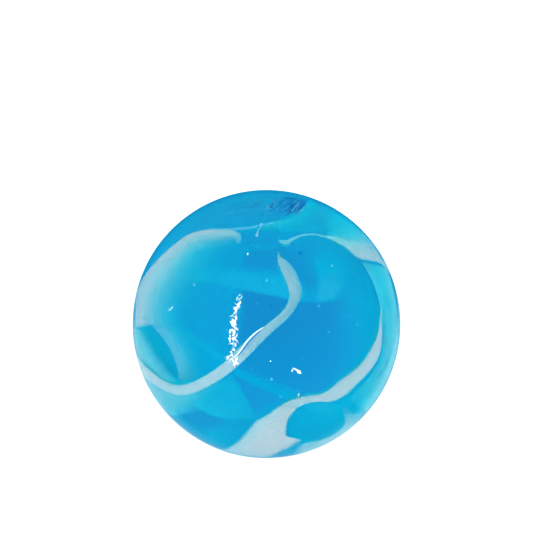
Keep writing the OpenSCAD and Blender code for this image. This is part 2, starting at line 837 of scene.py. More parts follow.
@dataclass
class Strokes:
    """Fine strokes just under the skin, each a thin spindle pointed at both ends: nicks, and dashes of
    painted highlight and shade.
    """

    name: str
    strokes: Sequence[Stroke]
    depth: float
    milk: float
    sides: int = 4
    streak_step: float = 0.7

    def build(self, radius: float, finish: WhiteGlass) -> Piece:
        """Makes every stroke as two pyramids set base to base, all in one mesh.

        Args:
            radius: The ball's radius in millimetres.
            finish: The strokes' finish.

        Returns:
            The strokes.
        """
        across, up, lean, length, width = np.array([astuple(stroke) for stroke in self.strokes]).T
        half = length / 2.0 / radius
        run, climb = half * np.cos(np.radians(lean)), half * np.sin(np.radians(lean))
        sight = Sight(Side.FRONT, radius)
        deep = np.full(len(up), self.depth)
        tip = sight.place(across + run, up + climb, deep)
        tail = sight.place(across - run, up - climb, deep)
        middle = sight.place(across, up, deep)
        inward = -unit(middle)
        sideways = unit(np.cross(tip - tail, inward))
        swells = [way * width[:, None] / 2.0 for way in (sideways, inward)]
        ring = [middle + swell for swell in swells] + [middle - swell for swell in swells]
        points = np.stack([tip, tail, *ring], axis=1)
        edges = [(2 + k, 2 + (k + 1) % self.sides) for k in range(self.sides)]
        faces = np.array([face for a, b in edges for face in ((0, a, b, b), (1, b, a, a))])
        count, corners = points.shape[:2]
        streak = np.repeat(np.arange(count) * self.streak_step, corners)
        marks = {"milk": np.full(points.shape[:2], self.milk), "cover": np.ones(points.shape[:2])}
        marks |= {"along": streak, "across": streak}
        return make_mesh(self.name, points, repeated(faces, corners, count), marks, finish)


def strokes_from(*columns: np.ndarray) -> tuple[Stroke, ...]:
    """Returns a stroke for each row of the columns: across, up, lean, length and width."""
    return tuple(Stroke(*row) for row in np.stack(columns, axis=1).tolist())


@dataclass(frozen=True)
class ShearMarks:
    """Marks that fan out from the scar, closest together and steepest beside it."""

    count: int
    seed: int
    crowding: float = 0.6
    across: Span = (-0.38, 0.28)
    foot: float = 0.80
    band: float = 0.13
    narrowing: float = 0.3
    climb: float = 0.03
    lean: Span = (28.0, 50.0)
    unrest: float = 5.0
    shortest: float = 0.25
    growth: float = 0.65
    far_growth: float = 0.4
    width: Span = (0.04, 0.09)

    def strokes(self) -> tuple[Stroke, ...]:
        """Returns the marks."""
        draw = np.random.default_rng(self.seed)
        near = draw.random(self.count) ** self.crowding
        height = self.band * draw.random(self.count) * (1.0 - self.narrowing * near)
        lean = spread(self.lean, near) + draw.normal(0.0, self.unrest, self.count)
        length = self.shortest + self.growth * draw.random(self.count) * (self.far_growth + near)
        width = spread(self.width, draw.random(self.count))
        up = self.foot + height + self.climb * near
        return strokes_from(spread(self.across, near), up, lean, length, width)


@dataclass(frozen=True)
class RimMarks:
    """Fine scratches that lie along the right rim, where the glass slid on the rollers."""

    count: int
    seed: int
    turn: Span = (12.0, -30.0)
    reach: Span = (0.87, 0.95)
    square: float = 90.0
    unrest: float = 9.0
    length: Span = (0.24, 0.68)
    width: Span = (0.05, 0.12)

    def strokes(self) -> tuple[Stroke, ...]:
        """Returns the scratches."""
        draw = np.random.default_rng(self.seed)
        turn = spread(self.turn, draw.random(self.count))
        reach = spread(self.reach, draw.random(self.count))
        across, up = reach * np.cos(np.radians(turn)), reach * np.sin(np.radians(turn))
        lean = turn + self.square + draw.normal(0.0, self.unrest, self.count)
        length = spread(self.length, draw.random(self.count))
        width = spread(self.width, draw.random(self.count))
        return strokes_from(across, up, lean, length, width)


@dataclass(frozen=True)
class Splinters:
    """Splinters that paint the strip lamp's ragged highlight streak beside the crossing ribbon, and the
    dark strokes of painted shade that break it up.

    Most lie along the streak, and the rest stand out from it as thorns.
    """

    count: int
    seed: int
    jitter: float = 0.8
    turns_at: tuple[float, ...] = (0.0, 0.15, 0.6, 0.9, 1.0)
    across: tuple[float, ...] = (-0.205, -0.232, -0.238, -0.255, -0.285)
    up: Span = (0.17, -0.26)
    sway: float = 0.009
    thorny: float = 0.3
    thorn_leans: Span = (30.0, 150.0)
    lean: float = 84.0
    unrest: float = 22.0
    thorn_length: float = 0.40
    length: float = 0.22
    longer: float = 0.16
    thorn_width: float = 0.035
    width: Span = (0.13, 0.08)
    wider: float = 0.05

    def strokes(self) -> tuple[Stroke, ...]:
        """Returns the splinters."""
        draw = np.random.default_rng(self.seed)
        share = (np.arange(self.count) + self.jitter * draw.random(self.count)) / self.count
        across = np.interp(share, self.turns_at, self.across) + draw.normal(0.0, self.sway, self.count)
        thorn = draw.random(self.count) < self.thorny
        lean = np.where(thorn, draw.choice(self.thorn_leans, self.count), self.lean)
        lean = lean + draw.normal(0.0, self.unrest, self.count)
        length = np.where(thorn, self.thorn_length, self.length)
        length = length + self.longer * draw.random(self.count)
        width = np.where(thorn, self.thorn_width, spread(self.width, share))
        width = width + self.wider * draw.random(self.count)
        return strokes_from(across, spread(self.up, share), lean, length, width)


@dataclass(frozen=True)
class SeamSpecks:
    """Specks that dot the seam above the highlight streak, stepping from side to side as they climb."""

    count: int = 9
    across: float = -0.195
    sway: float = 0.008
    sway_steps: tuple[int, ...] = (-2, 1, -1, 2, 0)
    foot: float = 0.26
    gap: float = 0.034
    lean: float = 75.0
    length: float = 0.15
    width: float = 0.06

    def strokes(self) -> tuple[Stroke, ...]:
        """Returns the specks."""
        across = self.across + self.sway * np.resize(self.sway_steps, self.count)
        up = self.foot + self.gap * np.arange(self.count)
        sizes = (np.full(self.count, size) for size in (self.lean, self.length, self.width))
        return strokes_from(across, up, *sizes)


@dataclass
class Seeds:
    """Tiny gas bubbles left in the glass, each a small round of a few faces."""

    name: str = "seed_bubbles"
    count: int = 90
    seed: int = 11
    reach: Span = (0.55, 0.95)
    size: Span = (0.03, 0.075)
    rings: int = 4
    spokes: int = 6

    def build(self, radius: float, finish: WhiteGlass) -> Piece:
        """Scatters the bubbles through the ball, away from its skin.

        Args:
            radius: The ball's radius in millimetres.
            finish: The bubbles' finish.

        Returns:
            The bubbles.
        """
        draw = np.random.default_rng(self.seed)
        way = unit(draw.normal(size=(self.count, 3)))
        middle = way * radius * spread(self.reach, draw.random((self.count, 1)))
        size = spread(self.size, draw.random((self.count, 1, 1)) ** 2)
        lean = np.linspace(0.0, np.pi, self.rings + 2)[1:-1]
        turn = np.linspace(0.0, 2.0 * np.pi, self.spokes, endpoint=False)
        ball = heading(*np.meshgrid(lean, turn, indexing="ij")).reshape(-1, 3)
        ball = np.concatenate([ball, POLES])
        points = middle[:, None] + size * ball
        faces = repeated(globe_quads(self.rings, self.spokes), len(ball), self.count)
        none = np.zeros(points.shape[:2])
        marks = {"milk": none + 1.0, "along": none, "across": none}
        return make_mesh(self.name, points, faces, marks, finish)


CROSSING_RIBBON = Ribbon("crossing_ribbon", (
    Knot(0.085, 0.535, 1.2, 0.03), Knot(0.096, 0.505, 1.2, 0.2, 0.4),
    Knot(0.112, 0.475, 1.15, 0.62, 0.8), Knot(0.137, 0.435, 1.1, 0.92, 1.1),
    Knot(0.187, 0.335, 0.85, 1.06, 1.3), Knot(0.212, 0.243, 0.8, 0.98, 1.2),
    Knot(0.198, 0.158, 0.85, 0.66, 1.0), Knot(0.148, 0.077, 1.0, 0.54, 0.7),
    Knot(0.045, -0.016, 0.9, 0.54, 0.5), Knot(-0.085, -0.126, 0.75, 0.7, 0.4),
    Knot(-0.198, -0.238, 0.55, 0.74), Knot(-0.307, -0.337, 0.5, 0.68), Knot(-0.431, -0.419, 0.55, 0.68),
    Knot(-0.542, -0.475, 0.6, 0.68), Knot(-0.638, -0.496, 0.6, 0.72), Knot(-0.735, -0.475, 0.6, 0.8),
    Knot(-0.831, -0.419, 0.4, 1.0), Knot(-0.914, -0.351, 0.25, 1.3), Knot(-0.965, -0.28, 0.25, 1.4),
))

RIBBONS = (
    Ribbon("low_ribbon", (
        Knot(0.86, 0.16, 0.6, 0.03), Knot(0.85, 0.022, 0.5, 0.2), Knot(0.842, -0.1, 0.45, 0.62),
        Knot(0.814, -0.2, 0.45, 1.1), Knot(0.753, -0.305, 0.45, 1.1), Knot(0.659, -0.4, 0.45, 1.1),
        Knot(0.571, -0.475, 0.45, 1.3), Knot(0.485, -0.53, 0.45, 1.05), Knot(0.41, -0.55, 0.45, 0.62),
        Knot(0.3, -0.565, 0.6, 0.56), Knot(0.19, -0.605, 0.6, 0.8), Knot(0.12, -0.66, 0.5, 1.1),
    ), keel=0.5),
    Ribbon("hook_ribbon", (
        Knot(0.09, 0.625, 1.1, 0.04), Knot(0.12, 0.61, 1.0, 0.3), Knot(0.15, 0.606, 1.0, 0.36),
        Knot(0.185, 0.625, 1.0, 0.24), Knot(0.25, 0.655, 1.0, 0.13), Knot(0.34, 0.667, 0.9, 0.12),
        Knot(0.41, 0.657, 0.8, 0.15), Knot(0.49, 0.63, 0.7, 0.2), Knot(0.56, 0.595, 0.6, 0.25),
    ), thick=0.12, milk=0.7, cover=0.65, keel=0.6),
    Ribbon("back_sweep", (Knot(0.8, 0.52, 0.6, 0.6), Knot(0.9, 0.42, 0.6, 0.9)), (
        Knot(-0.9, 0.42, 0.6, 1.1), Knot(-0.78, 0.5, 0.6, 1.3), Knot(-0.62, 0.6, 0.6, 1.2),
        Knot(-0.42, 0.68, 0.6, 0.9), Knot(-0.18, 0.72, 0.6, 0.7), Knot(0.06, 0.69, 0.6, 0.8),
        Knot(0.27, 0.61, 0.6, 1.2), Knot(0.46, 0.55, 0.6, 1.5), Knot(0.63, 0.44, 0.6, 1.2),
        Knot(0.73, 0.28, 0.6, 0.8), Knot(0.84, 0.14, 0.6, 0.7), Knot(0.95, 0.1, 0.6, 0.4),
        Knot(0.985, 0.12, 0.6, 0.04),
    ), keel=0.4),
    Ribbon("back_low_ribbon", (Knot(-0.965, -0.27, 0.5, 1.4),), (
        Knot(0.965, -0.24, 0.5, 1.2), Knot(0.87, -0.3, 0.5, 0.9), Knot(0.74, -0.4, 0.5, 0.7),
        Knot(0.6, -0.47, 0.5, 0.8), Knot(0.44, -0.53, 0.5, 1.1), Knot(0.25, -0.63, 0.5, 0.9),
        Knot(0.04, -0.67, 0.5, 0.6), Knot(-0.18, -0.63, 0.5, 0.6), Knot(-0.38, -0.57, 0.5, 0.8),
        Knot(-0.55, -0.44, 0.5, 0.9), Knot(-0.63, -0.26, 0.5, 0.5), Knot(-0.62, -0.12, 0.5, 0.04),
    ), keel=0.4),
    Ribbon("shoulder_curl", (
        Knot(-0.33, 0.69, 0.7, 0.2), Knot(-0.27, 0.685, 0.7, 0.4), Knot(-0.23, 0.665, 0.7, 0.46),
        Knot(-0.21, 0.635, 0.7, 0.4), Knot(-0.215, 0.6, 0.8, 0.1),
    ), thick=0.12, keel=0.5, milk=0.7, cover=0.4, steps=60),
)

FROSTY_THREADS = (
    Ribbon("brow_thread", (
        Knot(-0.45, 0.708, 0.5, 0.05), Knot(-0.28, 0.706, 0.5, 0.16), Knot(-0.14, 0.715, 0.5, 0.22),
        Knot(0.0, 0.743, 0.5, 0.12), Knot(0.12, 0.772, 0.5, 0.05),
    ), thick=0.06, keel=0.1, milk=0.3, cover=0.5, steps=80),
    Ribbon("drop_tail", (
        Knot(-0.035, 0.75, 0.35, 0.16), Knot(-0.052, 0.71, 0.35, 0.06), Knot(-0.066, 0.685, 0.35, 0.07),
        Knot(-0.071, 0.662, 0.35, 0.2), Knot(-0.073, 0.645, 0.35, 0.04),
    ), thick=0.1, keel=0.05, milk=0.5, cover=0.8, steps=60),
)

# A thin white line just under the skin that paints the strip lamp's highlight along the crossing ribbon's
# upper edge.
EDGE_HIGHLIGHT = Ribbon("edge_painted_highlight", (
    Knot(-0.24, -0.255, 0.08, 0.05), Knot(-0.205, -0.215, 0.08, 0.07), Knot(-0.136, -0.121, 0.08, 0.08),
    Knot(-0.07, -0.06, 0.08, 0.07), Knot(-0.024, -0.03, 0.08, 0.04),
), thick=0.05, keel=0.02, steps=60)

SIDE_THREAD = Ribbon("side_thread", (
    Knot(0.68, 0.47, 0.9, 0.03), Knot(0.755, 0.375, 0.9, 0.08), Knot(0.805, 0.26, 0.9, 0.1),
    Knot(0.838, 0.15, 0.9, 0.08), Knot(0.852, 0.03, 0.9, 0.03),
), thick=0.05, keel=0.1, milk=0.0, cover=0.8, steps=80)

# A dark line beside it that paints the shade below that highlight.
EDGE_SHADE = Ribbon("edge_painted_shade", (
    Knot(-0.215, -0.24, 0.12, 0.03), Knot(-0.19, -0.213, 0.12, 0.07), Knot(-0.126, -0.131, 0.12, 0.08),
    Knot(-0.063, -0.068, 0.12, 0.07), Knot(-0.03, -0.042, 0.12, 0.03),
), thick=0.05, keel=0.02, milk=0.0, steps=60)

# Nicks in the skin. The strokes round (-0.23, -0.28) and (-0.2, 0.19) paint the foot and the top of the
# strip lamp's highlight, and those round (0.22, -0.35) paint a glint in the pit.
NICKS_AND_GLINTS = Strokes("nicks_and_painted_glints", (
    Stroke(-0.72, 0.105, 30.0, 0.34, 0.05), Stroke(-0.705, 0.12, 60.0, 0.24, 0.05),
    Stroke(-0.54, 0.29, 100.0, 0.18, 0.03), Stroke(-0.14, 0.52, 80.0, 0.16, 0.1),
    Stroke(0.24, -0.53, 75.0, 0.26, 0.07), Stroke(0.03, -0.28, 0.0, 0.12, 0.08),
    Stroke(0.49, 0.43, 90.0, 0.18, 0.03), Stroke(-0.225, -0.27, 62.0, 0.55, 0.14),
    Stroke(-0.235, -0.3, 50.0, 0.4, 0.16), Stroke(-0.25, -0.275, 100.0, 0.35, 0.12),
    Stroke(-0.218, -0.295, 120.0, 0.3, 0.1), Stroke(-0.265, -0.265, 35.0, 0.4, 0.08),
    Stroke(-0.22, 0.188, 70.0, 0.3, 0.06), Stroke(-0.188, 0.195, 66.0, 0.28, 0.06),
    Stroke(-0.2, 0.212, 10.0, 0.2, 0.06), Stroke(-0.208, 0.168, -30.0, 0.2, 0.06),
    Stroke(0.192, -0.35, 70.0, 0.24, 0.1), Stroke(0.21, -0.337, -15.0, 0.34, 0.1),
    Stroke(0.243, -0.36, -38.0, 0.4, 0.22), Stroke(0.23, -0.35, -10.0, 0.26, 0.1),
), depth=0.06, milk=1.0)

VEILS = (
    Veil("shoulder_veil", (
        Line(((-0.985, -0.04), (-0.98, 0.1), (-0.968, 0.25), (-0.905, 0.37), (-0.795, 0.5), (-0.695, 0.59),
              (-0.6, 0.66), (-0.5, 0.695), (-0.4, 0.705), (-0.28, 0.705), (-0.21, 0.68)),
             (0.3, 0.6), 1.0, 1.0),
        Line(((-0.93, -0.03), (-0.915, 0.09), (-0.885, 0.22), (-0.82, 0.33), (-0.73, 0.44), (-0.65, 0.53),
              (-0.565, 0.6), (-0.48, 0.635), (-0.39, 0.645), (-0.29, 0.655), (-0.2, 0.65)),
             0.8, (1.0, 0.9, 0.75, 0.7), (1.0, 0.8, 0.7, 0.8)),
        Line(((-0.86, -0.02), (-0.84, 0.08), (-0.8, 0.19), (-0.73, 0.29), (-0.65, 0.39), (-0.58, 0.47),
              (-0.51, 0.53), (-0.44, 0.57), (-0.37, 0.595), (-0.28, 0.615), (-0.195, 0.625)),
             1.3, (0.62, 0.45, 0.3, 0.35), (0.75, 0.45, 0.2, 0.4)),
        Line(((-0.74, -0.02), (-0.71, 0.07), (-0.67, 0.16), (-0.6, 0.25), (-0.52, 0.34), (-0.46, 0.4),
              (-0.41, 0.46), (-0.37, 0.5), (-0.32, 0.54), (-0.26, 0.57), (-0.19, 0.6)),
             2.0, (0.2, 0.12, 0.06), (0.2, 0.0)),
        Line(((-0.6, -0.02), (-0.57, 0.06), (-0.53, 0.14), (-0.47, 0.21), (-0.42, 0.28), (-0.37, 0.33),
              (-0.34, 0.39), (-0.31, 0.43), (-0.27, 0.49), (-0.23, 0.54), (-0.185, 0.59)), 2.6, 0.0),
    ), hem=(0.03, 0.03)),
    Veil("fold_veil", (
        Line(((-0.94, 0.06), (-0.85, -0.03), (-0.76, -0.13), (-0.7, -0.24), (-0.665, -0.35), (-0.66, -0.45)),
             (1.6, 2.0), (0.1, 0.3, 0.4, 0.5, 0.7, 0.8), (0.7, 0.8)),
        Line(((-0.9, 0.09), (-0.81, 0.0), (-0.73, -0.1), (-0.67, -0.21), (-0.63, -0.33), (-0.62, -0.45)),
             (1.8, 2.2), (0.4, 0.45, 0.5, 0.7, 0.8), (0.7, 0.75)),
        Line(((-0.84, 0.12), (-0.76, 0.04), (-0.68, -0.06), (-0.61, -0.17), (-0.575, -0.3), (-0.56, -0.43)),
             (2.2, 2.4), (0.35, 0.25, 0.5), (0.5, 0.3, 0.6)),
        Line(((-0.76, 0.16), (-0.66, 0.08), (-0.58, -0.02), (-0.51, -0.13), (-0.48, -0.26), (-0.46, -0.4)),
             3.0, 0.0),
    )),
    Veil("left_rim_veil", (
        Line(((-0.955, 0.02), (-0.86, -0.14), (-0.76, -0.29), (-0.68, -0.4), (-0.64, -0.46)), 1.4, 0.0, 0.4),
        Line(((-0.965, 0.0), (-0.9, -0.16), (-0.81, -0.33), (-0.73, -0.42), (-0.67, -0.47)), 1.0, 0.45, 0.5),
        Line(((-0.975, -0.01), (-0.935, -0.18), (-0.86, -0.34), (-0.76, -0.43), (-0.69, -0.48)),
             0.8, 0.8, 0.6),
        Line(((-0.99, -0.03), (-0.97, -0.2), (-0.92, -0.36), (-0.8, -0.44), (-0.7, -0.49)), 0.6, 0.9, 0.8),
    )),
    Veil("under_veil", (
        Line(((-0.955, -0.28), (-0.84, -0.41), (-0.73, -0.475), (-0.62, -0.49), (-0.5, -0.455),
              (-0.38, -0.39), (-0.28, -0.32)), (0.8, 1.5, 2.5), (0.9, 0.85, 0.6, 0.3, 0.1), (0.8, 0.6, 0.2)),
        Line(((-0.93, -0.36), (-0.86, -0.47), (-0.75, -0.55), (-0.63, -0.57), (-0.52, -0.54),
              (-0.42, -0.49), (-0.32, -0.44)), (0.8, 1.5, 2.5), (0.9, 0.85, 0.5, 0.15), (0.85, 0.6, 0.2)),
        Line(((-0.88, -0.46), (-0.83, -0.55), (-0.75, -0.62), (-0.66, -0.63), (-0.56, -0.61),
              (-0.46, -0.58), (-0.38, -0.54)), (0.7, 1.2, 2.0), (0.9, 0.6, 0.2, 0.0), (0.9, 0.5, 0.0)),
        Line(((-0.8, -0.59), (-0.77, -0.63), (-0.73, -0.67), (-0.67, -0.69), (-0.59, -0.67),
              (-0.5, -0.65), (-0.43, -0.61)), (0.6, 1.2, 2.0), (0.5, 0.2, 0.0), (0.6, 0.3, 0.0)),
    )),
    Veil("wedge_veil", (
        Line(((-0.3, 0.706), (-0.14, 0.722), (0.0, 0.746), (0.149, 0.781), (0.24, 0.83), (0.3, 0.9),
              (0.33, 0.94)), (1.2, 1.8), (1.0, 0.9, 0.7, 0.5), (0.5, 0.3, 0.1, 0.0)),
        Line(((-0.29, 0.702), (-0.11, 0.71), (0.03, 0.72), (0.18, 0.735), (0.28, 0.76), (0.36, 0.8),
              (0.42, 0.84)), (1.5, 2.4), (1.0, 0.75, 0.35, 0.15), (0.4, 0.15, 0.0)),
        Line(((-0.28, 0.698), (-0.09, 0.696), (0.05, 0.691), (0.19, 0.68), (0.3, 0.672), (0.36, 0.668),
              (0.44, 0.66)), 2.5, (0.8, 0.5, 0.2, 0.1)),
    )),
    Veil("east_veil", (
        Line(((0.44, 0.645), (0.52, 0.61), (0.6, 0.555), (0.69, 0.48), (0.78, 0.462), (0.89, 0.44)),
             (0.6, 0.6, 0.35), 1.0, (0.5, 0.7, 1.0, 1.0)),
        Line(((0.44, 0.655), (0.53, 0.635), (0.62, 0.605), (0.71, 0.565), (0.79, 0.545), (0.85, 0.515)),
             (0.6, 0.6, 0.35), 0.8, (0.5, 0.6, 0.85, 0.9)),
        Line(((0.44, 0.67), (0.53, 0.67), (0.62, 0.66), (0.7, 0.65), (0.76, 0.63), (0.8, 0.59)),
             0.8, (0.15, 0.4, 0.75), (0.1, 0.25, 0.7)),
        Line(((0.42, 0.76), (0.46, 0.8), (0.51, 0.82), (0.57, 0.8), (0.64, 0.75), (0.7, 0.7)),
             1.2, (0.1, 0.15, 0.3), 0.05),
        Line(((0.36, 0.9), (0.42, 0.89), (0.5, 0.85), (0.56, 0.815), (0.64, 0.755), (0.7, 0.7)),
             0.8, (0.1, 0.2, 0.3), 0.05),
    )),
    Veil("side_veil", (
        Line(((0.7, 0.47), (0.73, 0.42), (0.77, 0.34), (0.81, 0.25), (0.835, 0.15), (0.852, 0.02),
              (0.865, -0.1), (0.86, -0.2), (0.82, -0.31), (0.74, -0.42), (0.66, -0.5), (0.6, -0.58)),
             1.6, (0.6, 0.6, 0.65, 0.65, 0.4, 0.1), (0.5, 0.3, 0.2, 0.2, 0.2)),
        Line(((0.8, 0.455), (0.84, 0.38), (0.87, 0.3), (0.89, 0.2), (0.905, 0.1), (0.91, -0.02),
              (0.91, -0.15), (0.895, -0.27), (0.86, -0.37), (0.8, -0.47), (0.74, -0.55), (0.67, -0.63)),
             1.2, (0.5, 0.6, 0.75, 0.85, 0.6, 0.15), (0.2, 0.2, 0.4, 0.5, 0.2)),
        Line(((0.89, 0.43), (0.92, 0.36), (0.945, 0.28), (0.965, 0.19), (0.98, 0.08), (0.985, -0.04),
              (0.975, -0.18), (0.95, -0.29), (0.91, -0.39), (0.86, -0.49), (0.8, -0.59), (0.73, -0.67)),
             0.6, 0.85, 0.55),
    )),
    Veil("foot_veil", (
        Line(((0.1, -0.61), (-0.02, -0.685), (-0.09, -0.725), (-0.17, -0.82), (-0.24, -0.885),
              (-0.33, -0.93), (-0.37, -0.925)), (0.35, 0.15), 1.0, 0.7),
        Line(((0.16, -0.62), (0.09, -0.69), (0.04, -0.75), (-0.01, -0.82), (-0.06, -0.89), (-0.12, -0.94),
              (-0.172, -0.983)), (0.35, 0.15), 1.0, 1.0),
        Line(((0.24, -0.625), (0.185, -0.685), (0.155, -0.77), (0.16, -0.84), (0.27, -0.868),
              (0.15, -0.945), (0.03, -0.998)), (0.4, 0.15), 1.0, 1.0),
    ), hem=(0.16, 0.03)),
    Veil("eye_veil", (
        Line(((0.51, -0.6), (0.565, -0.68), (0.575, -0.75), (0.53, -0.8), (0.435, -0.85), (0.33, -0.875),
              (0.22, -0.895)), 0.8, (0.0, 0.0, 0.0, 0.0, 0.1, 0.3, 0.3), 0.5),
        Line(((0.53, -0.59), (0.59, -0.66), (0.6, -0.74), (0.56, -0.79), (0.475, -0.845), (0.36, -0.89),
              (0.2, -0.93)), 0.7, (0.0, 0.1, 0.9, 1.0, 1.0, 0.75, 0.4), (0.8, 0.85, 0.7)),
        Line(((0.57, -0.58), (0.65, -0.65), (0.645, -0.735), (0.6, -0.785), (0.51, -0.845), (0.37, -0.915),
              (0.18, -0.97)), 0.5, (0.0, 0.0, 0.85, 1.0, 1.0, 0.9, 0.6), (0.7, 0.9, 0.9)),
        Line(((0.66, -0.56), (0.74, -0.62), (0.69, -0.71), (0.615, -0.785), (0.515, -0.855), (0.37, -0.928),
              (0.17, -0.982)), 0.25, (0.0, 0.0, 0.6, 1.0, 1.0, 0.95, 0.8), (0.8, 1.0, 1.0)),
    ), hem=(0.07, 0.16)),
    Veil("back_shoulder_veil", (
        Line(((-0.6, 0.61), (-0.3, 0.71), (0.0, 0.7), (0.3, 0.62), (0.55, 0.5), (0.72, 0.34), (0.84, 0.18)),
             0.6, 0.8, 0.8),
        Line(((-0.55, 0.53), (-0.28, 0.63), (0.0, 0.63), (0.27, 0.55), (0.49, 0.43), (0.65, 0.28),
              (0.75, 0.12)), 0.8, (0.4, 0.7, 0.8), (0.4, 0.6)),
        Line(((-0.5, 0.46), (-0.26, 0.55), (0.0, 0.55), (0.24, 0.48), (0.43, 0.36), (0.57, 0.22),
              (0.66, 0.08)), 1.0, (0.2, 0.3, 0.5), (0.1, 0.3)),
        Line(((-0.44, 0.4), (-0.22, 0.48), (0.0, 0.48), (0.2, 0.43), (0.37, 0.31), (0.5, 0.18),
              (0.58, 0.04)), 1.1, 0.0),
    ), side=Side.BACK, hem=(0.12, 0.22)),
    Veil("back_crown_veil", (
        Line(((-0.78, 0.5), (-0.52, 0.68), (-0.2, 0.75), (0.1, 0.72), (0.42, 0.62), (0.66, 0.46)),
             0.8, (0.3, 0.7, 0.5), 0.3),
        Line(((-0.8, 0.54), (-0.56, 0.75), (-0.22, 0.84), (0.12, 0.82), (0.46, 0.72), (0.74, 0.54)),
             0.8, (0.4, 0.5, 0.6), (0.1, 0.2)),
        Line(((-0.81, 0.57), (-0.58, 0.79), (-0.23, 0.93), (0.14, 0.93), (0.5, 0.82), (0.8, 0.58)),
             0.8, (0.0, 0.1, 0.3)),
    ), side=Side.BACK, hem=(0.12, 0.22)),
    Veil("back_side_veil", (
        Line(((-0.9, 0.44), (-0.97, 0.22), (-0.985, 0.0), (-0.96, -0.22), (-0.84, -0.5)), 0.6, 0.9, 0.7),
        Line(((-0.86, 0.42), (-0.89, 0.24), (-0.9, 0.0), (-0.87, -0.24), (-0.8, -0.52)),
             0.7, (0.3, 0.7, 0.7, 0.2), 0.5),
        Line(((-0.8, 0.42), (-0.81, 0.24), (-0.79, 0.02), (-0.78, -0.24), (-0.76, -0.54)),
             0.9, (0.0, 0.4, 0.5, 0.0), 0.2),
        Line(((-0.72, 0.42), (-0.7, 0.22), (-0.62, 0.02), (-0.66, -0.26), (-0.7, -0.56)), 1.0, 0.0),
    ), side=Side.BACK, hem=(0.12, 0.22)),
    Veil("back_foot_veil", (
        Line(((0.88, -0.34), (0.7, -0.46), (0.46, -0.56), (0.25, -0.66), (0.04, -0.7), (-0.2, -0.66)),
             0.6, (0.8, 0.6, 0.5), (0.6, 0.3)),
        Line(((0.84, -0.44), (0.66, -0.58), (0.46, -0.68), (0.26, -0.76), (0.04, -0.8), (-0.2, -0.77)),
             0.8, (0.6, 0.4, 0.3), (0.4, 0.1)),
        Line(((0.79, -0.56), (0.62, -0.7), (0.43, -0.82), (0.25, -0.88), (0.04, -0.9), (-0.2, -0.88)),
             0.8, (0.2, 0.0)),
    ), side=Side.BACK, hem=(0.12, 0.22)),
)

# A dark blue sheet just under the scar that paints its darker shade.
SCAR_SHADE = Veil("scar_painted_shade", (
    Line(((-0.04, 0.83), (0.06, 0.815), (0.15, 0.82), (0.25, 0.85), (0.34, 0.91)), 0.3, 0.0),
    Line(((-0.02, 0.86), (0.08, 0.85), (0.17, 0.855), (0.26, 0.875), (0.33, 0.92)),
         0.3, (0.0, 0.15, 0.38, 0.46, 0.0)),
    Line(((0.02, 0.91), (0.11, 0.9), (0.19, 0.9), (0.27, 0.905), (0.32, 0.93)),
         0.3, (0.0, 0.14, 0.38, 0.46, 0.0)),
    Line(((0.06, 0.96), (0.13, 0.955), (0.2, 0.95), (0.26, 0.94), (0.31, 0.94)),
         0.3, (0.0, 0.1, 0.1, 0.1, 0.0)),
))

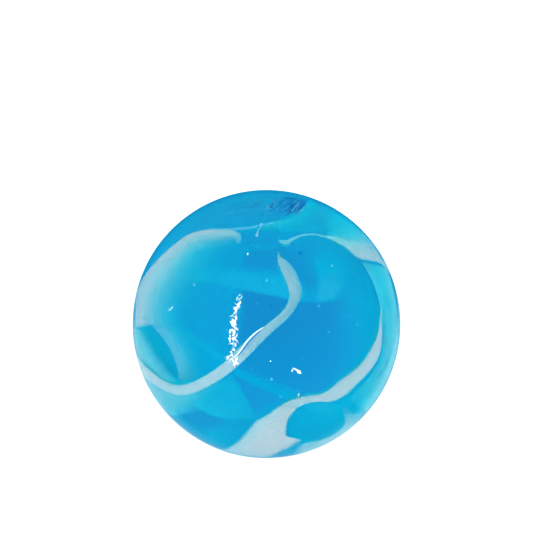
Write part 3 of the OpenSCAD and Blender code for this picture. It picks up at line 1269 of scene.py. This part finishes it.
BROAD_VEIL = BroadVeil("broad_veil", (
    # cap above the shoulder
    Patch(((-1.1, 0.2), (-0.95, 0.26), (-0.87, 0.37), (-0.78, 0.49), (-0.69, 0.59), (-0.6, 0.66),
           (-0.5, 0.7), (-0.28, 0.71), (0.0, 0.75), (0.15, 0.78), (0.25, 0.84), (0.31, 0.91),
           (0.36, 1.1), (-1.0, 1.1)), 0.02, 0.14),
    # under the shoulder
    Patch(((-0.8, 0.2), (-0.6, 0.35), (-0.3, 0.42), (-0.22, 0.55), (-0.22, 0.62), (-0.45, 0.66),
           (-0.75, 0.46)), (0.2, 0.2, 0.1, 0.04, 0.05, 0.05, 0.1), 0.26),
    # brow wedge, light at its left end
    Patch(((-0.28, 0.7), (-0.09, 0.695), (0.05, 0.69), (0.19, 0.68), (0.33, 0.663), (0.41, 0.657),
           (0.48, 0.63), (0.6, 0.6), (0.8, 0.62), (0.6, 0.85), (0.33, 0.95), (0.3, 0.9), (0.25, 0.84),
           (0.15, 0.78), (0.0, 0.746), (-0.28, 0.71)), 0.015, 0.16),
    Patch(((-0.28, 0.7), (0.05, 0.692), (0.14, 0.71), (0.24, 0.8), (0.22, 0.83), (0.0, 0.745)),
          (0.015, 0.015, 0.12, 0.15, 0.03, 0.015), 0.62, 0.06),
    Patch(((0.45, 0.66), (0.58, 0.6), (0.75, 0.6), (0.7, 0.75), (0.55, 0.86), (0.48, 0.8)), 0.1, 0.62, 0.04),
    # dark hollow above the band
    Patch(((-0.2, 0.37), (-0.19, 0.43), (-0.15, 0.51), (-0.07, 0.56), (0.05, 0.56), (0.1, 0.6),
           (0.2, 0.57), (0.34, 0.6), (0.34, 0.45), (0.39, 0.3), (0.32, 0.26), (0.15, 0.35), (0.0, 0.38)),
          (0.08, 0.03, 0.03, 0.03, 0.05, 0.08, 0.12, 0.2, 0.2, 0.12, 0.08, 0.1, 0.1), 0.06),
    # between the hollow and the brow
    Patch(((-0.2, 0.56), (-0.08, 0.58), (0.06, 0.58), (0.1, 0.62), (0.05, 0.69), (-0.18, 0.69)), 0.03, 0.16),
    # band
    Patch(((-0.64, 0.325), (-0.4, 0.3), (-0.21, 0.26), (0.0, 0.216), (0.134, 0.187), (0.27, 0.165),
           (0.27, 0.26), (0.134, 0.34), (0.0, 0.37), (-0.2, 0.39), (-0.4, 0.41), (-0.6, 0.39)),
          (0.02, 0.014, 0.014, 0.014, 0.014, 0.014, 0.08, 0.14, 0.14, 0.12, 0.14, 0.14), 0.74, 0.2),
    # deep blue middle, fading to the right
    Patch(((-0.17, 0.25), (0.0, 0.216), (0.134, 0.187), (0.27, 0.165), (0.37, 0.157), (0.56, 0.19),
           (0.6, 0.02), (0.63, -0.15), (0.6, -0.32), (0.5, -0.48), (0.35, -0.56), (0.2, -0.62),
           (0.1, -0.575), (-0.24, -0.4), (-0.22, -0.2), (-0.19, 0.0)),
          (0.05, 0.014, 0.014, 0.014, 0.014, 0.14, 0.3, 0.34, 0.3, 0.15, 0.05, 0.05, 0.02, 0.02, 0.05, 0.06),
          0.0),
    # fan
    Patch(((0.37, 0.157), (0.45, 0.165), (0.52, 0.187), (0.58, 0.3), (0.63, 0.4), (0.55, 0.5),
           (0.42, 0.52), (0.35, 0.46), (0.39, 0.3)),
          (0.014, 0.014, 0.02, 0.02, 0.1, 0.2, 0.1, 0.03, 0.02), 0.55, 0.05),
    Patch(((0.38, 0.165), (0.5, 0.185), (0.56, 0.28), (0.52, 0.36), (0.4, 0.33)),
          (0.02, 0.03, 0.06, 0.2, 0.06), 0.82, 0.4),
    # stripe across its foot
    Patch(((-0.23, -0.33), (0.0, -0.42), (0.24, -0.52), (0.24, -0.58), (0.1, -0.55), (-0.1, -0.455),
           (-0.24, -0.385)), (0.03, 0.08, 0.08, 0.02, 0.015, 0.015, 0.015), 0.42),
    # left fin
    Patch(((-0.72, 0.035), (-0.6, -0.055), (-0.45, -0.16), (-0.3, -0.26), (-0.3, -0.31), (-0.45, -0.225),
           (-0.6, -0.13), (-0.72, -0.03)), (0.04, 0.04, 0.03, 0.03, 0.06, 0.06, 0.06, 0.06), 0.88, 0.2),
    Patch(((-0.7, -0.06), (-0.45, -0.22), (-0.3, -0.3), (-0.3, -0.36), (-0.42, -0.42), (-0.6, -0.48)),
          0.06, 0.42),
    # hollow beside the left rim
    Patch(((-0.97, 0.03), (-0.85, -0.045), (-0.76, -0.134), (-0.7, -0.24), (-0.67, -0.4), (-0.8, -0.32),
           (-0.9, -0.15)), 0.02, 0.92, 0.14),
    # light ground under the crossing ribbon
    Patch(((-0.8, -0.45), (-0.55, -0.48), (-0.42, -0.43), (-0.24, -0.4), (-0.16, -0.53), (-0.09, -0.67),
           (0.0, -0.7), (-0.15, -0.716), (-0.3, -0.71), (-0.42, -0.68), (-0.55, -0.61), (-0.66, -0.68),
           (-0.8, -0.62)),
          (0.04, 0.02, 0.02, 0.02, 0.03, 0.02, 0.02, 0.02, 0.03, 0.012, 0.012, 0.02, 0.05), 0.74, 0.2),
    # dark triangle
    Patch(((-0.24, -0.4), (0.1, -0.575), (-0.09, -0.67)), 0.02, 0.03),
    # ground at the foot, with a dark spot
    Patch(((-0.75, -0.66), (-0.58, -0.625), (-0.46, -0.675), (-0.4, -0.705), (-0.15, -0.72), (0.0, -0.7),
           (0.0, -1.1), (-0.6, -1.1)), (0.05, 0.02, 0.02, 0.02, 0.02, 0.02, 0.02, 0.02), 0.3),
    Patch(((-0.66, -0.69), (-0.55, -0.61), (-0.42, -0.68), (-0.3, -0.72), (-0.36, -0.78), (-0.5, -0.8)),
          (0.05, 0.012, 0.012, 0.03, 0.12, 0.12), 0.0),
    # right of the deep blue
    Patch(((0.6, 0.5), (0.74, 0.42), (0.84, 0.2), (0.86, -0.1), (0.75, -0.33), (0.62, -0.42),
           (0.74, -0.15), (0.74, 0.1)), 0.15, 0.52),
    # eye and the ground right of it
    Patch(((0.16, -0.62), (0.35, -0.58), (0.53, -0.6), (0.56, -0.8), (0.3, -0.95), (0.14, -0.8)),
          0.04, 0.44),
    Patch(((0.28, -0.6), (0.4, -0.59), (0.52, -0.6), (0.52, -0.66), (0.42, -0.67), (0.34, -0.64)),
          (0.03, 0.03, 0.03, 0.06, 0.06, 0.06), 0.78, 0.2),
    Patch(((0.5, -0.6), (0.66, -0.48), (0.8, -0.36), (0.92, -0.3), (0.84, -0.6), (0.6, -0.9),
           (0.54, -0.74)), 0.06, 0.6),
))


def set_up(name: str, data: bpy.types.ID, place: np.ndarray, axes: Sequence[np.ndarray]) -> Piece:
    """Adds a lamp or a camera to the scene.

    Args:
        name: Its name.
        data: What it is.
        place: Where it stands, in metres.
        axes: Its right, upward and backward directions.

    Returns:
        The new object.
    """
    item = bpy.data.objects.new(name, data)
    item.location = place.tolist()
    item.rotation_mode = "QUATERNION"
    item.rotation_quaternion = Matrix(np.stack(axes, axis=1).tolist()).to_quaternion()
    bpy.context.scene.collection.objects.link(item)
    return item


@dataclass
class Studio:
    """A plain pale floor, a soft bright room, one strip lamp and the camera.

    Gloss mirrors a dark blue room and floor in place of the bright ones that are seen. The glow's
    place and reach are in ball radii, and the lamp's and the clip's lengths in metres.
    """

    radius: float
    fill: float = 1.42
    floor_half: float = 1200.0
    floor_grey: Colour = (0.21, 0.21, 0.21)
    floor_glow: float = 0.62
    floor_seen: float = 0.35
    horizon_blue: Colour = (0.0, 0.39, 0.67)
    glow_blue: Colour = (0.38, 0.84, 1.0)
    glow_middle: Place = (0.1, 1.6, -1.0)
    glow_reach: Span = (2.4, 1.75)
    dusk_behind: Colour = (0.01, 0.05, 0.08)
    dusk_ahead: Colour = (0.06, 0.05, 0.08)
    ahead: Span = (0.1, -0.6)
    roof: Span = (0.0, 0.45)
    lamp_way: Place = (-0.485, -0.10, 0.868)
    lamp_distance: float = 0.25
    lamp_tilt: float = 0.24
    lamp_size: Span = (0.002, 0.08)
    lamp_power: float = 0.07
    lens: float = 100.0
    sensor: float = 36.0
    drop: float = 0.107
    clip: Span = (0.005, 10.0)

    def build(self) -> None:
        """Makes the floor, the room light, the lamp and the camera."""
        self.floor()
        self.room()
        self.lamp()
        self.camera()

    def lifted(self, g: Graph, strength: object) -> Socket:
        """Returns the strength, with the fill added where it falls on white glass or the floor."""
        scattered = g.math("GREATER_THAN", g.add("LightPath").outputs["Diffuse Depth"], UNSCATTERED)
        return g.math("ADD", strength, g.math("MULTIPLY", scattered, self.fill))

    def parted(self, g: Graph, seen: bpy.types.Node, mirrored: bpy.types.Node) -> Socket:
        """Shows one shader to the eye and another on gloss.

        Args:
            g: The tree to add to.
            seen: The shader for what is seen.
            mirrored: The shader for what shows only as a mirror image on gloss.

        Returns:
            The two shaders in one.
        """
        path = g.add("LightPath").outputs
        share = g.math("MULTIPLY", path["Is Glossy Ray"], path["Is Reflection Ray"])
        return g.blend(share, seen, mirrored).outputs[0]

    def floor(self) -> None:
        """Lays a wide pale floor under the ball."""
        half, low = self.floor_half * MM, -self.radius * MM
        corners = [(-half, -half, low), (half, -half, low), (half, half, low), (-half, half, low)]
        mesh = bpy.data.meshes.new("floor")
        mesh.from_pydata(corners, [], [(0, 1, 2, 3)])
        floor = bpy.data.objects.new("floor", mesh)
        bpy.context.scene.collection.objects.link(floor)
        material = bpy.data.materials.new("pale_floor")
        g = empty_graph(material)
        seen = g.math("MULTIPLY", g.add("LightPath").outputs["Is Camera Ray"], self.floor_seen)
        pale = g.add(
            "BsdfPrincipled",
            Base_Color=self.floor_grey,
            Roughness=1.0,
            Specular_IOR_Level=0.0,
            Emission_Color=WHITE_LIGHT,
            Emission_Strength=self.lifted(g, g.math("ADD", self.floor_glow, seen)),
        )
        gap = g.add("VectorMath")
        gap.operation = "DISTANCE"
        g.fill(gap.inputs[0], g.add("TexCoord").outputs["Object"])
        g.fill(gap.inputs[1], tuple(share * self.radius * MM for share in self.glow_middle))
        near = g.ramp(gap.outputs["Value"], *(share * self.radius * MM for share in self.glow_reach))
        tint = g.mix_colour(near, self.horizon_blue, self.glow_blue)
        dim = g.add("Emission", Color=tint, Strength=1.0)
        g.add("OutputMaterial", Surface=self.parted(g, pale, dim))
        mesh.materials.append(material)

    def room(self) -> None:
        """Lights the scene evenly from all round, and keeps the room dark in mirror images."""
        world = bpy.data.worlds.new("soft_room")
        g = empty_graph(world)
        bright = g.add("Background", Color=WHITE_LIGHT, Strength=self.lifted(g, 1.0))
        way = g.add("SeparateXYZ", Vector=g.add("TexCoord").outputs["Generated"]).outputs
        above = g.mix_colour(g.ramp(way["Y"], *self.ahead, "LINEAR"), self.dusk_behind, self.dusk_ahead)
        tint = g.mix_colour(g.ramp(way["Z"], *self.roof), self.horizon_blue, above)
        dim = g.add("Background", Color=tint, Strength=1.0)
        g.add("OutputWorld", Surface=self.parted(g, bright, dim))
        bpy.context.scene.world = world

    def lamp(self) -> None:
        """Hangs a tall strip lamp in front, which shows only as a highlight."""
        axes = Sight(Side.FRONT, self.radius).axes()
        aim = unit(np.array(self.lamp_way)) @ axes
        data = bpy.data.lights.new("strip_lamp", "AREA")
        data.shape = "RECTANGLE"
        data.size, data.size_y = self.lamp_size
        data.energy = self.lamp_power
        tall = axes[1] * math.cos(self.lamp_tilt) + axes[0] * math.sin(self.lamp_tilt)
        side = unit(np.cross(tall, aim))
        lamp = set_up("strip_lamp", data, aim * self.lamp_distance, (side, np.cross(aim, side), aim))
        lamp.visible_camera = False
        lamp.visible_diffuse = False
        lamp.visible_transmission = False
        lamp.visible_volume_scatter = False

    def camera(self) -> None:
        """Sets the camera above the front, a little tipped up so that the ball sits low."""
        axes = Sight(Side.FRONT, self.radius).axes()
        data = bpy.data.cameras.new("camera")
        data.lens = self.lens
        data.sensor_width = self.sensor
        data.clip_start, data.clip_end = self.clip
        tip = math.atan(self.drop * self.sensor / self.lens)
        look = -axes[2] * math.cos(tip) + axes[1] * math.sin(tip)
        up = axes[1] * math.cos(tip) + axes[2] * math.sin(tip)
        place = axes[2] * CAMERA_DISTANCE * MM
        bpy.context.scene.camera = set_up("camera", data, place, (np.cross(look, up), up, -look))


def white_parts() -> list[tuple[Ribbon | Veil | BroadVeil | Strokes | Seeds, WhiteGlass]]:
    """Returns every part inside the ball, in the order they are made, with its finish."""
    ragged, shade_splinters = Splinters(count=46, seed=3), Splinters(count=26, seed=8)
    parts = [(CROSSING_RIBBON, BRIGHT)]
    parts += [(ribbon, SOLID) for ribbon in RIBBONS]
    parts += [(veil, SHEER) for veil in (*VEILS, BROAD_VEIL)]
    parts += [(thread, FROST) for thread in FROSTY_THREADS]
    parts += [
        (NICKS_AND_GLINTS, SPARK),
        # White splinters that paint the strip lamp's ragged highlight streak.
        (Strokes("painted_highlight_streak", ragged.strokes(), depth=0.05, milk=1.0), SPARK),
        # Dark splinters that paint shade into gaps of the highlight streak.
        (Strokes("highlight_painted_shade", shade_splinters.strokes()[::2], depth=0.01, milk=0.0), INK),
        (Seeds(), GAS),
        (SCAR_SHADE, INK),
        (EDGE_HIGHLIGHT, SPARK),
        (EDGE_SHADE, INK),
        (SIDE_THREAD, INK),
        (Strokes("seam_specks", SeamSpecks().strokes(), depth=0.15, milk=0.0), INK),
        (Strokes("shear_marks_pale", ShearMarks(34, seed=5).strokes(), depth=0.15, milk=0.15), FROST),
        (Strokes("shear_marks_deep", ShearMarks(40, seed=9).strokes(), depth=0.2, milk=0.0), INK),
        (Strokes("rim_scratches", RimMarks(26, seed=7).strokes(), depth=0.1, milk=0.3), FROST),
        (Strokes("rim_grooves", RimMarks(20, seed=9).strokes(), depth=0.1, milk=0.0), INK),
    ]
    return parts


def main() -> None:
    """Builds the marble and the studio, and reports each piece."""
    logging.basicConfig(level=logging.INFO, format="%(name)s: %(message)s")
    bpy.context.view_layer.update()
    low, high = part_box("marble")
    radius = float(high[2] - low[2]) / 2.0 / MM
    bpy.context.scene.view_settings.view_transform = "Standard"
    bpy.context.scene.cycles.denoising_input_passes = "RGB"
    bpy.context.scene.cycles.diffuse_bounces = DIFFUSE_BOUNCES
    bpy.context.scene.cycles.max_bounces = MOST_BOUNCES
    bpy.context.scene.cycles.transparent_max_bounces = VEIL_BOUNCES
    bpy.context.scene.cycles.transmission_bounces = TRANSMISSION_BOUNCES
    ball = GlassBall(radius).build(BlueGlass())
    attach(ball, "root")
    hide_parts("marble")
    LOG.info("%s: %d faces", ball.name, len(ball.data.polygons))
    for part, finish in white_parts():
        piece = part.build(radius, finish)
        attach(piece, "root")
        LOG.info("%s: %d faces", piece.name, len(piece.data.polygons))
    Studio(radius).build()


if __name__ == "__main__":
    main()
